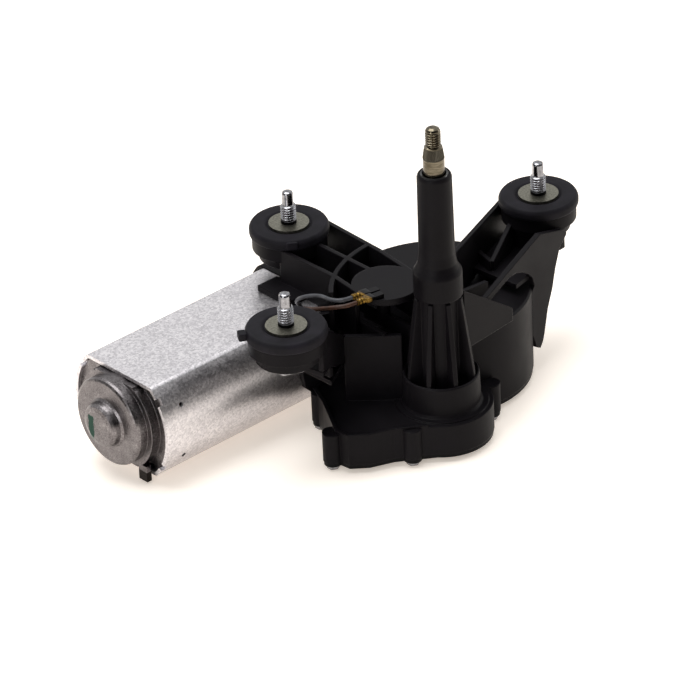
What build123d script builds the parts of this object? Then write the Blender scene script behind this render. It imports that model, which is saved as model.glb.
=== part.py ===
from build123d import *
from math import acos, atan2, cos, degrees, hypot, pi, radians, sin, sqrt, tan
import os

# Rear wiper motor: permanent-magnet motor, worm drive, toothed connecting rod and swinging spindle.
# Millimetres. Everything is drawn with Z measured up from the joint face of the bottom cover, X along
# the motor towards the gearbox and the spindle on the Z axis. The parts are exported with the origin
# on the spindle axis in the plane that the three mounting studs clamp against.

# ---------------------------------------------------------------- driving dimensions
PANEL_Z = 59.0                  # mounting plane above the cover joint
SPINDLE = (0.0, 0.0)
WHEEL = (30.0, 34.0)            # worm wheel axis
WORM_Y, WORM_Z = 70.0, 19.2     # motor and worm axis
STUDS = [(-2.4, 79.2), (-55.0, 23.0), (78.0, 26.2)]

WALL = 2.2                      # moulded wall
BASE_TOP = 12.0                 # top of the flange round the cover
ROOF = 34.6                     # top of the worm wheel chamber
CHAMBER_R = 36.6
LOBE_R = 19.3                   # flange under the spindle tower
TRAY_TOP = 54.3                 # top edge of the ribbed mounting arms
RIB = 1.8

SHAFT_R = 4.0                   # output spindle
TUBE_TOP = 108.6
SEAL_SEAT = TUBE_TOP - 2.3      # shoulder under the lip ring in the tube's mouth
TOWER_BORE_R = 5.3

MODULE_WORM = 1.0
WHEEL_TEETH = 64
WORM_R = 4.0                    # worm pitch radius
WORM_LEAD = pi * MODULE_WORM    # single start
MODULE_SECTOR = 1.5
PINION_TEETH = 10
SECTOR_TEETH = 24               # on the full circle
CRANK = 7.0
CRANK_PIN_R, AXLE_R = 2.5, 3.0
ROD_LENGTH = 50.0
CRANK_ANGLE = 40.0              # parked: crank in line with the end of the stroke
GEAR_BOTTOM, GEAR_TOP = 3.3, 9.0

CAN_R, CAN_FLAT, CAN_WALL = 26.1, 19.0, 1.4
CAN_BACK, CAN_FRONT = -97.2, -9.0

ISOLATOR_R = 15.3


# ---------------------------------------------------------------- small helpers
def post(radius, low, high, at=(0, 0)):
    """Upright cylinder between two heights."""
    upright = Cylinder(radius, high - low, align=(Align.CENTER, Align.CENTER, Align.MIN))
    return Pos(at[0], at[1], low) * upright


def ring(outer, inner, low, high, at=(0, 0)):
    return post(outer, low, high, at) - post(inner, low - 1, high + 1, at)


def plate(points, low, high):
    """Upright prism over a plan outline."""
    return Pos(0, 0, low) * extrude(Polygon(*points, align=None), high - low)


def turned(points, at=(0, 0)):
    """Solid of revolution about an upright axis from (radius, height) points."""
    outline = Plane.XZ * make_face(Polyline(*points, close=True))
    return Pos(at[0], at[1], 0) * revolve(outline, Axis.Z)


def along_motor(shape):
    """Turn a shape drawn about Z so that its +Z runs along the motor axis."""
    return Pos(0, WORM_Y, WORM_Z) * Rot(0, 90, 0) * shape


def rod_x(radius, start, end):
    """Cylinder on the motor axis between two X positions."""
    return along_motor(post(radius, start, end))


def tube_x(outer, inner, start, end):
    return rod_x(outer, start, end) - rod_x(inner, start - 1, end + 1)


def web(start, end, low, top_start, top_end, thick=RIB, low_end=None):
    """Upright moulded web between two plan points, with its own top height at each end."""
    dx, dy = end[0] - start[0], end[1] - start[1]
    length = hypot(dx, dy)
    side = Plane(origin=(start[0], start[1], 0), x_dir=(dx, dy, 0), z_dir=(dy, -dx, 0))
    low_end = low if low_end is None else low_end
    outline = Polygon((0, low), (length, low_end), (length, top_end), (0, top_start), align=None)
    return extrude(side * outline, thick / 2, both=True)


def can_section(radius, flat, corner=2.5):
    """Two-flat round section of the motor, drawn with its flats up and down."""
    section = Circle(radius) & Rectangle(4 * radius, 2 * flat)
    return fillet(section.vertices(), corner)


def can_prism(radius, flat, start, end, corner=2.5):
    """Two-flat round section carried along the motor axis."""
    side = Plane(origin=(start, WORM_Y, WORM_Z), x_dir=(0, 1, 0), z_dir=(1, 0, 0))
    return extrude(side * can_section(radius, flat, corner), end - start)


def polar(radius, angle, at=(0, 0)):
    return (at[0] + radius * cos(radians(angle)), at[1] + radius * sin(radians(angle)))


def group(shapes):
    return Compound(children=list(shapes))


# ---------------------------------------------------------------- linkage at rest (parked)
CENTRES = MODULE_SECTOR * (PINION_TEETH + SECTOR_TEETH) / 2
SECTOR_RATIO = SECTOR_TEETH / PINION_TEETH


def link_end(crank_angle):
    """Plan position of the link pin for a crank angle, by crossing the rod and link circles."""
    eye = polar(CRANK, crank_angle, WHEEL)
    reach = hypot(*eye)
    spread = acos((CENTRES**2 + reach**2 - ROD_LENGTH**2) / (2 * CENTRES * reach))
    angle = degrees(atan2(eye[1], eye[0]) + spread)
    return polar(CENTRES, angle), eye, angle


PIVOT, EYE, LINK_ANGLE = link_end(CRANK_ANGLE)
ROD_ANGLE = degrees(atan2(EYE[1] - PIVOT[1], EYE[0] - PIVOT[0]))


# ---------------------------------------------------------------- gears
def involute_radius_angle(base, radius):
    """Polar angle in radians of an involute at a radius."""
    slope = acos(base / radius)
    return tan(slope) - slope


def tooth_outline(module, teeth, pressure, backlash, addendum, dedendum):
    """One tooth on the X axis: root, arc flank, tip, arc flank; returns the points of one side."""
    pitch = module * teeth / 2
    base = pitch * cos(radians(pressure))
    half = (pi * module / 2 - backlash) / (2 * pitch)
    at_pitch = involute_radius_angle(base, pitch)

    def side(radius):
        used = max(radius, base)
        return half + at_pitch - involute_radius_angle(base, used)

    root, tip = pitch - dedendum, pitch + addendum
    radii = (root, (root + tip) / 2, tip)
    return [(r * cos(side(r)), r * sin(side(r))) for r in radii]


def tooth_face(module, teeth, pressure, backlash, addendum, dedendum):
    low, middle, high = tooth_outline(module, teeth, pressure, backlash, addendum, dedendum)
    inner = low[0] - 1.0
    lines = [
        Line((inner, -low[1]), (low[0], -low[1])),
        ThreePointArc((low[0], -low[1]), (middle[0], -middle[1]), (high[0], -high[1])),
        Line((high[0], -high[1]), high),
        ThreePointArc(high, middle, low),
        Line(low, (inner, low[1])),
        Line((inner, low[1]), (inner, -low[1])),
    ]
    return make_face(Curve() + lines)


PRESSURE = 25.0
BACKLASH = 0.16
ADDENDUM, DEDENDUM = 1.35, 1.7


def pinion():
    """Ten-tooth pinion pressed on the spindle; one tooth space faces the link pin."""
    tooth = tooth_face(MODULE_SECTOR, PINION_TEETH, PRESSURE, BACKLASH, ADDENDUM, DEDENDUM)
    pitch_angle = 360 / PINION_TEETH
    flat = Circle(MODULE_SECTOR * PINION_TEETH / 2 - DEDENDUM)
    for i in range(PINION_TEETH):
        flat += Rot(0, 0, LINK_ANGLE + pitch_angle * (i + 0.5)) * tooth
    solid = Pos(0, 0, GEAR_BOTTOM) * extrude(flat, GEAR_TOP - GEAR_BOTTOM)
    return solid - post(SHAFT_R - 0.5, 0, GEAR_TOP + 1)


SECTOR_FIRST, SECTOR_LAST = 0, 3      # teeth counted from the parked line of centres


def sector_rod():
    """Connecting rod: crank eye, straight arm and toothed sector centred on the link pin."""
    height = GEAR_TOP - GEAR_BOTTOM
    pitch_angle = 360 / SECTOR_TEETH
    root = MODULE_SECTOR * SECTOR_TEETH / 2 - DEDENDUM
    facing = LINK_ANGLE + 180
    tooth = tooth_face(MODULE_SECTOR, SECTOR_TEETH, PRESSURE, BACKLASH, ADDENDUM, DEDENDUM)
    edge = 0.62
    first = facing + pitch_angle * (SECTOR_FIRST - edge)
    last = facing + pitch_angle * (SECTOR_LAST + edge)
    middle = (first + last) / 2
    fan = make_face(Curve() + [
        Line((0, 0), polar(root, first)),
        ThreePointArc(polar(root, first), polar(root, middle), polar(root, last)),
        Line(polar(root, last), (0, 0)),
    ])
    window = Rot(0, 0, middle) * Pos(root * 0.62, 0) * SlotCenterToCenter(5.0, 4.4, rotation=90)
    fan -= window
    for i in range(SECTOR_FIRST, SECTOR_LAST + 1):
        fan += Rot(0, 0, facing + pitch_angle * i) * tooth
    fan += Circle(6.0)
    arm_length = hypot(EYE[0] - PIVOT[0], EYE[1] - PIVOT[1])
    arm = Polygon((0, -4.2), (arm_length, -3.6), (arm_length, 3.6), (0, 5.5), align=None)
    arm += Pos(arm_length, 0) * Circle(5.8)
    flat = Rot(0, 0, ROD_ANGLE) * arm + fan
    solid = Pos(PIVOT[0], PIVOT[1], GEAR_BOTTOM) * extrude(flat, height)
    groove = Polygon((9, -1.9), (arm_length - 9, -1.6), (arm_length - 9, 1.6), (9, 1.9), align=None)
    solid -= Pos(PIVOT[0], PIVOT[1], GEAR_TOP - 1.2) * Rot(0, 0, ROD_ANGLE) * extrude(groove, 2)
    solid -= post(CRANK_PIN_R + 0.08, 0, 12, EYE)
    return solid - post(2.6, 0, 12, PIVOT)


def link_pin():
    """Shouldered pin pressed in the rod that the link plate turns on."""
    return post(2.6, 0.9, GEAR_TOP, PIVOT)


def link_plate():
    """Stamped plate that holds the sector in mesh with the pinion."""
    flat = Pos(*SPINDLE) * Circle(6.2) + Pos(*PIVOT) * Circle(5.2)
    half = 4.2
    along = Rot(0, 0, LINK_ANGLE) * Pos(CENTRES / 2, 0) * Rectangle(CENTRES, 2 * half)
    flat += along
    solid = Pos(0, 0, 0.9) * extrude(flat, 2.1)
    return solid - post(SHAFT_R - 0.5 + 0.05, 0, 4) - post(2.6 + 0.05, 0, 4, PIVOT)


def worm_wheel():
    """Nylon worm wheel: helical teeth lofted along the worm's lead angle, webbed hub and crank boss."""
    radius = MODULE_WORM * WHEEL_TEETH / 2
    tip, root = radius + 0.95, radius - 1.25
    half_tip, half_pitch, half_root = 0.36, 0.72, 1.16
    thin = 0.07
    face = 9.0
    twist = degrees(face * (WORM_LEAD / (2 * pi * WORM_R)) / radius)
    step = 360 / WHEEL_TEETH

    def outline(turn):
        points = []
        for i in range(WHEEL_TEETH):
            # a tooth space faces the worm so that the thread crest sits in it at rest
            angle = 90 + step * (i + 0.5) + turn
            for r, half in ((root, -half_root), (tip, -half_tip), (tip, half_tip), (root, half_root)):
                side = degrees((abs(half) - thin) / r) * (1 if half > 0 else -1)
                points.append(polar(r, angle + side))
        return make_face(Polyline(*points, close=True))

    low = WORM_Z - face / 2
    bottom = Pos(0, 0, low) * outline(-twist / 2)
    top = Pos(0, 0, low + face) * outline(twist / 2)
    rim = loft([bottom, top], ruled=True)
    rim -= post(27.6, low - 1, low + face + 1)
    wheel = rim + ring(28.0, 7.0, WORM_Z - 1.4, WORM_Z + 1.4) + post(8.0, 10.7, WORM_Z + 6.6)
    for i in range(6):
        spoke = Pos(17.8, 0, WORM_Z) * Box(20.0, 1.8, 7.6)
        wheel += Rot(0, 0, 60 * i + 20) * spoke
    wheel += post(5.5, 10.7, WORM_Z - 1.0, polar(CRANK, CRANK_ANGLE))
    wheel -= post(AXLE_R + 0.05, 0, 40)
    wheel -= post(CRANK_PIN_R, 0, 17.0, polar(CRANK, CRANK_ANGLE))
    return Pos(WHEEL[0], WHEEL[1], 0) * wheel


def crank_pin():
    return post(CRANK_PIN_R, GEAR_TOP + 0.35, 17.0, EYE)


def wheel_axle():
    """Fixed axle pressed in the chamber roof, with its retaining ring."""
    return post(AXLE_R, 9.4, 29.4, WHEEL) - ring(AXLE_R + 1, AXLE_R - 0.5, 9.9, 10.5, WHEEL)


def axle_ring():
    clip = ring(AXLE_R + 1.15, AXLE_R - 0.5, 9.95, 10.45, WHEEL)
    return clip - Pos(WHEEL[0], WHEEL[1] - 3.5, 10.2) * Box(3.4, 4.6, 2)


WORM_TURNS = 6
WORM_START = WHEEL[0] - WORM_TURNS * WORM_LEAD / 2
WORM_ROOT, WORM_TIP = WORM_R - 1.15, WORM_R + 1.0


def worm_thread():
    """Single-start right-hand ridge wound on the worm's core; its crest faces the wheel half way."""
    half_foot, half_crest, sunk = 1.12, 0.38, WORM_ROOT - 0.3
    ridge = Polygon((sunk, -half_foot), (WORM_TIP, -half_crest), (WORM_TIP, half_crest),
                    (sunk, half_foot), align=None)
    path = Helix(WORM_LEAD, WORM_TURNS * WORM_LEAD, WORM_ROOT)
    return sweep(Plane.XZ * ridge, path, is_frenet=True)


def armature_shaft():
    """Motor shaft with the worm on its front end, running in both motor bearings and a nose bush."""
    end = WORM_START + WORM_TURNS * WORM_LEAD
    core = turned([(0, -105.5), (3.4, -105.5), (4.0, -104.9), (4.0, WORM_START - 3.0),
                   (WORM_ROOT, WORM_START - 1.6), (WORM_ROOT, 47.6), (1.6, 48.6), (0, 48.6)])
    half_way = 90 if WORM_TURNS % 2 else 270
    thread = Pos(0, 0, WORM_START) * Rot(0, 0, half_way) * worm_thread()
    return along_motor(core + thread)


# ---------------------------------------------------------------- motor
OUTLET = (-20.9, 50.6, 35.8)    # block in the can's shoulder where the two leads leave
OUTLET_SIZE = (5.0, 6.6, 4.6)


def motor_can():
    """Rolled steel yoke: two-flat round tube, open in front, with its locating holes."""
    can = can_prism(CAN_R, CAN_FLAT, CAN_BACK, CAN_FRONT)
    can -= can_prism(CAN_R - CAN_WALL, CAN_FLAT - CAN_WALL, CAN_BACK - 1, CAN_FRONT + 1, 1.2)
    for z in (10.4, -11.4):
        hole = Pos(CAN_BACK + 9.2, WORM_Y, WORM_Z + z) * Rot(90, 0, 0)
        can -= hole * Cylinder(0.9, 60, align=(Align.CENTER, Align.CENTER, Align.MIN))
    length, width, height = OUTLET_SIZE
    can -= Pos(OUTLET[0], OUTLET[1], OUTLET[2] - 1) * Box(length + 0.6, width + 0.6, height + 4)
    for angle in STAKE_ANGLES:
        y, z = polar(CAN_R, angle)
        can -= Pos(CAN_BACK, WORM_Y + y, WORM_Z + z) * Rot(angle, 0, 0) * Box(3.4, 4.0, 3.0)
    return can


END_FACE = CAN_BACK + 1.6
STAKE_ANGLES = (33, 147, 213, 327)      # notches in the can's rim, staked over the end plate
SLOT_Y = 13.2                   # open slots beside the step, from the motor axis
STEP_R, STEP_FACE = 20.0, CAN_BACK - 2.4
CUP_R = 17.6
CUP_FACE = CAN_BACK - 7.2
DOME_FACE = CAN_BACK - 11.8


def end_plate():
    """Pressed end plate let into the back of the can: flat-sided step, cup, bearing dome and foot."""
    thick = 1.5
    width, flat = CAN_R - CAN_WALL - 0.05, CAN_FLAT - CAN_WALL - 0.05
    disc = can_prism(width, flat, END_FACE, END_FACE + thick, 1.15)
    step = can_prism(STEP_R, flat - 0.5, STEP_FACE, END_FACE + 0.5, 1.15)
    outer = [(0, END_FACE + thick), (CUP_R, END_FACE + thick), (CUP_R, CUP_FACE + 1.4),
             (CUP_R - 0.4, CUP_FACE + 0.5), (CUP_R - 1.3, CUP_FACE), (9.8, CUP_FACE), (9.0, CUP_FACE - 0.8),
             (8.6, DOME_FACE + 1.6), (7.8, DOME_FACE + 0.5), (6.2, DOME_FACE), (0, DOME_FACE)]
    inner = [(0, END_FACE + thick + 1), (CUP_R - 1.6, END_FACE + thick + 1), (CUP_R - 1.7, CUP_FACE + thick),
             (7.1, CUP_FACE + thick), (7.1, DOME_FACE + 2.2), (4.4, DOME_FACE + 1.6), (0, DOME_FACE + 1.6)]
    solid = disc + step + along_motor(turned(outer)) - along_motor(turned(inner))
    for side in (-1, 1):
        for up in (-1, 1):
            solid -= Pos(END_FACE, WORM_Y + side * SLOT_Y, WORM_Z + up * (flat - 0.6)) * Box(12, 5.6, 1.8)
    foot = Pos(STEP_FACE + 1.1, WORM_Y - SLOT_Y, WORM_Z - flat - 0.9) * Box(2.2, 4.6, 6.6)
    return solid + foot


def magnets():
    """Two ferrite segments held against the round sides of the can."""
    outer, inner, half = CAN_R - CAN_WALL - 0.05, 16.4, 41.0
    pieces = []
    for middle in (0, 180):
        low, high = middle - half, middle + half
        arc = make_face(Curve() + [
            ThreePointArc(polar(outer, low), polar(outer, middle), polar(outer, high)),
            Line(polar(outer, high), polar(inner, high)),
            ThreePointArc(polar(inner, high), polar(inner, middle), polar(inner, low)),
            Line(polar(inner, low), polar(outer, low)),
        ])
        side = Plane(origin=(-82, WORM_Y, WORM_Z), x_dir=(0, 1, 0), z_dir=(1, 0, 0))
        pieces.append(extrude(side * arc, 40))
    return group(pieces)


CORE_BACK, CORE_FRONT = -77.0, -47.0
CORE_R = 15.7
SLOTS = 12


def slot_outline(gap):
    """Winding slot, wider towards the rim, with its corner on the X axis side."""
    return Polygon((8.2 + gap, -1.1 + gap), (13.6 - gap, -2.3 + gap), (13.6 - gap, 2.3 - gap),
                   (8.2 + gap, 1.1 - gap), align=None)


def armature_core():
    """Laminated core with its T-shaped poles."""
    flat = Circle(CORE_R)
    for i in range(SLOTS):
        turn = Rot(0, 0, 360 / SLOTS * (i + 0.5))
        flat -= turn * Pos(CORE_R - 1, 0) * Rectangle(4, 1.8)
        flat -= turn * slot_outline(0)
    flat -= Circle(SHAFT_R)
    return along_motor(Pos(0, 0, CORE_BACK) * extrude(flat, CORE_FRONT - CORE_BACK))


def windings():
    """Copper in the slots and the end turns at both ends of the core."""
    pieces = Part()
    for i in range(SLOTS):
        turn = Rot(0, 0, 360 / SLOTS * (i + 0.5))
        slot = turn * slot_outline(0.1)
        pieces += Pos(0, 0, CORE_BACK - 1) * extrude(slot, CORE_FRONT - CORE_BACK + 2)
    for base, out in ((CORE_BACK - 0.1, -1), (CORE_FRONT + 0.1, 1)):
        bundle = [(5.2, base), (13.6, base), (13.9, base + out * 3.0), (12.0, base + out * 6.2),
                  (8.0, base + out * 7.0), (5.2, base + out * 6.0)]
        pieces += turned(bundle)
    return along_motor(pieces)


COMM_BACK, COMM_FRONT = CAN_FRONT - 21.5, CAN_FRONT - 8.5
COMM_R = 9.5


def commutator():
    """Moulded sleeve with twelve copper bars and their risers."""
    body = ring(COMM_R, SHAFT_R, COMM_BACK, COMM_FRONT)
    body += ring(COMM_R + 1.6, SHAFT_R, COMM_BACK, COMM_BACK + 2)
    for i in range(SLOTS):
        cut = Rot(0, 0, 360 / SLOTS * i) * Pos(COMM_R + 1, 0, 0) * Box(3.4, 0.6, 2 * abs(COMM_BACK) + 4)
        body -= cut
    return along_motor(body)


def brush_holder():
    """Moulded brush plate in the mouth of the can with two brush boxes and the lead outlet."""
    front = CAN_FRONT - 0.3
    back = front - 2.4
    card = can_prism(CAN_R - CAN_WALL - 0.3, CAN_FLAT - CAN_WALL - 0.3, back, front, 1.2)
    card -= rod_x(COMM_R + 3.5, back - 1, front + 1)
    for side in (-1, 1):
        box = Pos(back - 4.4, WORM_Y + side * 16.1, WORM_Z) * Box(9.0, 9.0, 8.2)
        bore = Pos(back - 4.4, WORM_Y + side * 16.1, WORM_Z) * Box(6.2, 20.0, 5.2)
        card += box - bore
        card -= Pos(back, WORM_Y + side * 16.1, WORM_Z) * Box(2.6, 20.0, 5.2)
    card += Pos(-16.4, 52.2, 32.0) * Box(14.0, 3.2, 4.0) + Pos(*OUTLET) * Box(*OUTLET_SIZE)
    for route in (GREY_ROUTE, BROWN_ROUTE):
        run = Vector(*route[1]) - Vector(*route[0])
        card -= Plane(origin=route[0], z_dir=run) * post(LEAD_R, 0, 4)
    return card


def brushes():
    boxes = []
    for side in (-1, 1):
        block = Pos(CAN_FRONT - 7.1, WORM_Y + side * 14.2, WORM_Z) * Box(6.0, 9.0, 5.0)
        boxes.append(block - rod_x(COMM_R + 0.05, -50, 0))
    return group(boxes)


def brush_springs():
    """Bent leaf springs that press the brushes on the commutator."""
    leaves = []
    for side in (-1, 1):
        path = Polyline((-2.6, 19.0), (1.4, 19.7), (-2.4, 20.4))
        leaf = extrude(trace(path, 0.3), 1.8, both=True)
        leaves.append(Pos(CAN_FRONT - 7.1, WORM_Y, WORM_Z) * Rot(0, 0, 0 if side > 0 else 180) * leaf)
    return group(leaves)


def rear_bush():
    """Sintered bush pressed in the dome of the end plate."""
    return tube_x(7.1, SHAFT_R + 0.03, DOME_FACE + 2.3, CUP_FACE + 3.5)


def rear_thrust():
    return turned_x([(0, DOME_FACE + 1.6), (3.0, DOME_FACE + 1.6), (2.4, -105.52), (0, -105.52)])


def turned_x(points):
    return along_motor(turned(points))


BEARING_BACK, BEARING_FRONT = CAN_FRONT + 6.0, CAN_FRONT + 12.0


def front_bearing():
    """Sintered bearing of the worm end, seated in the housing neck."""
    return tube_x(9.0, SHAFT_R + 0.03, BEARING_BACK, BEARING_FRONT)


def nose_bush():
    return tube_x(4.7, 2.85 + 0.03, 42.5, 47.5)


def nose_thrust():
    """Hardened button that takes the worm's end thrust."""
    return rod_x(3.2, 48.65, 49.9)


MOTOR_SCREWS = [(WORM_Y + 20.5, WORM_Z + 9.5), (WORM_Y + 20.5, WORM_Z - 9.5)]


def motor_screws():
    """Two screws that hold the can to the housing flange, heads in front."""
    face = CAN_FRONT + 6.05
    screws = []
    for y, z in MOTOR_SCREWS:
        axis = Pos(0, y, z) * Rot(0, 90, 0)
        screws.append(axis * post(1.9, CAN_FRONT + 1, face) + axis * post(3.4, face, face + 2.2))
    return group(screws)


# ---------------------------------------------------------------- gear housing
# plan outline of the flange left of the chamber, over the swinging linkage
LINKAGE_OUTLINE = [(-28, 41), (-33, 30), (-43.5, 12), (-42.8, 5.5), (-37, 0.5), (-28, -3.2), (-14, -13),
                   (10, 0), (10, 60), (-6, 60), (-8, 47), (-14, 43.5)]
COVER_BOSSES = [(-43.8, 13.4, 3.7), (-21.5, -6.2, 3.8), (21.2, -4.2, 3.6), (-27.5, 37.6, 3.4),
                (68.6, 40.0, 3.3), (51.6, 65.6, 3.4), (8.6, 66.0, 3.4)]
FRONT_WALL = ((-24.5, 26.3), (-9.0, 11.2))
FRONT_WALL_TOP = 39.7
PAD = (-3.7, 24.6)
PAD_R = 12.9


def base_outline(chamber=CHAMBER_R):
    outline = Pos(*WHEEL) * Circle(chamber) + Circle(LOBE_R) + Polygon(*LINKAGE_OUTLINE, align=None)
    for x, y, r in COVER_BOSSES:
        outline += Pos(x, y) * Circle(r)
    return outline


COLLAR_R, COLLAR_LOW, COLLAR_TOP = 9.2, 58.4, 67.6      # shoulder at the foot of the tube


def tower():
    """Spindle tower: skirted base ring, eight fins, shouldered collar and tapered tube."""
    shell = turned([(0, BASE_TOP - 2), (17.6, BASE_TOP - 2), (17.6, BASE_TOP + 0.5), (15.4, BASE_TOP + 0.5),
                    (14.7, BASE_TOP + 1.6), (14.4, 24.4),
                    (13.8, 25.0), (13.2, 24.4), (13.0, 17.0), (7.8, 16.2), (7.6, COLLAR_LOW - 0.6),
                    (COLLAR_R, COLLAR_LOW), (COLLAR_R, COLLAR_TOP), (8.9, COLLAR_TOP + 0.9), (8.2, COLLAR_TOP + 2.0),
                    (7.3, COLLAR_TOP + 4.0), (6.8, COLLAR_TOP + 8.0), (6.5, TUBE_TOP - 1.4),
                    (6.2, TUBE_TOP - 0.5), (5.8, TUBE_TOP), (0, TUBE_TOP)])
    fin = Polygon((6.0, 15), (13.4, 15), (13.4, 24.0), (13.2, 27.0), (9.1, 57.4), (6.0, 57.8), align=None)
    blade = extrude(Plane.XZ * fin, 0.9, both=True)
    for i in range(8):
        shell += Rot(0, 0, 45 * i + 26) * blade
    return shell


def near_wall():
    """Side wall of the third arm: rising rail, arched opening and a leg down the chamber's side."""
    start, end = (25.0, 1.2), (60.5, 8.8)
    dx, dy = end[0] - start[0], end[1] - start[1]
    side = Plane(origin=(start[0], start[1], 0), x_dir=(dx, dy, 0), z_dir=(dy, -dx, 0))
    outline = Polygon((-1.5, 45.4), (36.0, 55.0), (51.3, 49.6), (54.0, 47.6), (54.0, 46.4), (49.0, 42.6),
                      (45.9, 35.5), (43.6, 27.9), (40.2, 20.8), (37.5, 11.1), (36.4, 8.2), (34.6, 6.0),
                      (32.0, 7.5), (29.6, 14.0), (29.4, 33.0), (31.4, 34.9), (30.1, 39.1), (27.5, 42.0),
                      (23.4, 44.7), (19.0, 46.4), (14.5, 46.8), (0, 42.8), (-1.5, 42.3), align=None)
    return extrude(side * outline, 1.1, both=True)


def stud_ring(at):
    """Two-step ring that carries one rubber isolator."""
    return turned([(0, 44.6), (11.6, 44.6), (12.0, 45.0), (12.4, 48.6), (14.4, 49.0), (14.4, TRAY_TOP),
                    (0, TRAY_TOP)], at)


def stud_ring_bore(at):
    return post(8.6, 40, 60, at) + post(10.9, 40, 47.2, at)


def curved_web(points, low, high, thick=RIB):
    return Pos(0, 0, low) * extrude(trace(ThreePointArc(*points), thick), high - low)


def arms():
    """Ribbed trays between the three isolator rings, the tower and the chamber roof."""
    low = ROOF - 2
    mid = TRAY_TOP - 13.6
    pieces = [
        # first arm, towards the far stud
        web((13.4, 80.0), (11.6, 44.0), mid, TRAY_TOP, TRAY_TOP, low_end=low),
        web((11.6, 44.0), (8.4, 20.0), low, TRAY_TOP, TRAY_TOP),
        web((8.4, 20.0), (7.6, 3.0), low, TRAY_TOP, TRAY_TOP + 2),
        web((-0.8, 68.0), (-0.8, 36.0), mid, TRAY_TOP, TRAY_TOP, low_end=low),
        web((-13.3, 72.0), (-13.3, 42.0), mid, TRAY_TOP, TRAY_TOP, low_end=low),
        web((-13.3, 42.0), (-15.2, 28.0), low, TRAY_TOP, TRAY_TOP),
        curved_web([(11.0, 50.6), (-7.4, 46.0), (-22.6, 34.2)], low, TRAY_TOP),
        plate([(-14.0, 72.0), (13.6, 80.0), (12.4, 56.0), (-14.0, 44.0)], mid, mid + 2.0),
        # round pad over the ribs, and the ribs that run on below it to the tower
        post(PAD_R, TRAY_TOP - 2.6, TRAY_TOP, PAD),
        web((-3.1, 37.0), (-3.1, 7.0), BASE_TOP - 1, 41.0, 41.0),
        web((-13.3, 42.0), (-13.3, 15.0), BASE_TOP - 1, 40.4, 40.4),
        post(2.6, 38.0, TRAY_TOP - 1, (-3.1, 27.0)),
        # second arm, towards the stud beside the motor
        web((-49.0, 11.6), (-43.0, 15.5), 41.0, TRAY_TOP, TRAY_TOP, low_end=38.0),
        web((-43.0, 15.5), (-24.6, 26.6), 38.0, TRAY_TOP, FRONT_WALL_TOP + 0.4, low_end=28.0),
        web((-52.0, 36.0), (-20.0, 45.0), 42.0, TRAY_TOP, 40.0, low_end=30.0),
        plate([(-24.5, 26.6), (-46.0, 14.0), (-50.0, 36.0), (-20.0, 44.6)], 38.0, 40.0)
        - plate([(-24.5, 28.0), (-36.0, 21.0), (-37.0, 40.0), (-20.0, 44.6)], 30.0, 50.0),
        plate([(-24.5, 26.6), (-38.0, 18.8), (-38.5, 39.4), (-20.0, 44.6)], 29.0, 31.0),
        web((-37.0, 19.6), (-38.0, 39.4), 30.0, 40.0, 40.0),
        web((-21.0, 45.0), (-8.0, 37.0), BASE_TOP - 1, 40.0, 40.0),
        # third arm, towards the stud past the chamber
        web((73.0, 39.6), (31.0, 23.2), mid, TRAY_TOP, TRAY_TOP, low_end=low),
        web((31.0, 23.2), (7.6, 11.0), low, TRAY_TOP, TRAY_TOP),
        web((66.0, 28.4), (47.0, 20.5), mid - 2, 51.5, 44.0),
        web((47.0, 20.5), (49.4, 30.0), low, 44.0, 44.0),
        web((7.0, 6.5), (34.0, 10.0), low, 50.0, 45.0),
        plate([(46.0, 6.4), (72.0, 12.2), (72.0, 39.0), (44.0, 28.2)], mid - 3, mid - 1),
        near_wall(),
        # gusset from the tower's collar down to the rim of the chamber
        web((7.6, -4.6), (34.7, -2.1), ROOF - 2, 57.9, 38.1, thick=1.9),
    ]
    return pieces


def motor_flange():
    """Flange and neck that carry the can, with its long lip over the can and the ear beside it."""
    outline = can_prism(CAN_R + 2.0, CAN_FLAT + 0.2, CAN_FRONT, CAN_FRONT + 6.0, 3.0)
    neck = turned_x([(0, CAN_FRONT + 5), (17.0, CAN_FRONT + 5), (12.0, CAN_FRONT + 12), (8.4, CAN_FRONT + 17),
                     (7.6, CAN_FRONT + 19), (7.6, 49.6), (6.8, 50.6), (0, 50.6)])
    lip = plate([(-22.4, 58.0), (0.0, 58.0), (0.0, 76.0), (-22.4, 76.0)], WORM_Z + CAN_FLAT - 1, 40.8)
    ear_outline = Polygon((-32.0, 20.0), (-31.0, 13.5), (-22.5, 5.0), (-12.0, 4.0), (-12.0, 31.0),
                          (-30.0, 31.0), align=None)
    ear = extrude(Plane(origin=(0, 43.6, 0), x_dir=(1, 0, 0), z_dir=(0, -1, 0)) * ear_outline, 2.2)
    return [outline, neck, lip, ear]


def gear_housing():
    """One moulding: cover flange, worm wheel chamber, worm neck, spindle tower and ribbed arms."""
    base = extrude(base_outline(CHAMBER_R - 1), BASE_TOP)
    chamber = turned([(0, 0), (CHAMBER_R, 0), (CHAMBER_R, ROOF - 0.8), (CHAMBER_R - 0.8, ROOF),
                      (0, ROOF)], WHEEL)
    lip_outline = Polygon(*LINKAGE_OUTLINE, align=None)
    lip = extrude(lip_outline - offset(lip_outline, -1.5), 1.1)
    lip = Pos(0, 0, BASE_TOP) * (lip - post(LOBE_R + 1, -1, 3) - post(CHAMBER_R, -1, 3, WHEEL)
                                 - plate([(-26, 42), (-40, 60), (40, 60), (20, 30), (-14, 30)], -1, 3))
    front_wall = web(FRONT_WALL[0], FRONT_WALL[1], BASE_TOP - 1, FRONT_WALL_TOP, FRONT_WALL_TOP, thick=2.2)
    body = base + chamber + tower()
    for piece in [lip, front_wall] + arms() + motor_flange() + [stud_ring(at) for at in STUDS]:
        body += piece
    for hollow in housing_hollows():
        body -= hollow
    return body


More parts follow.
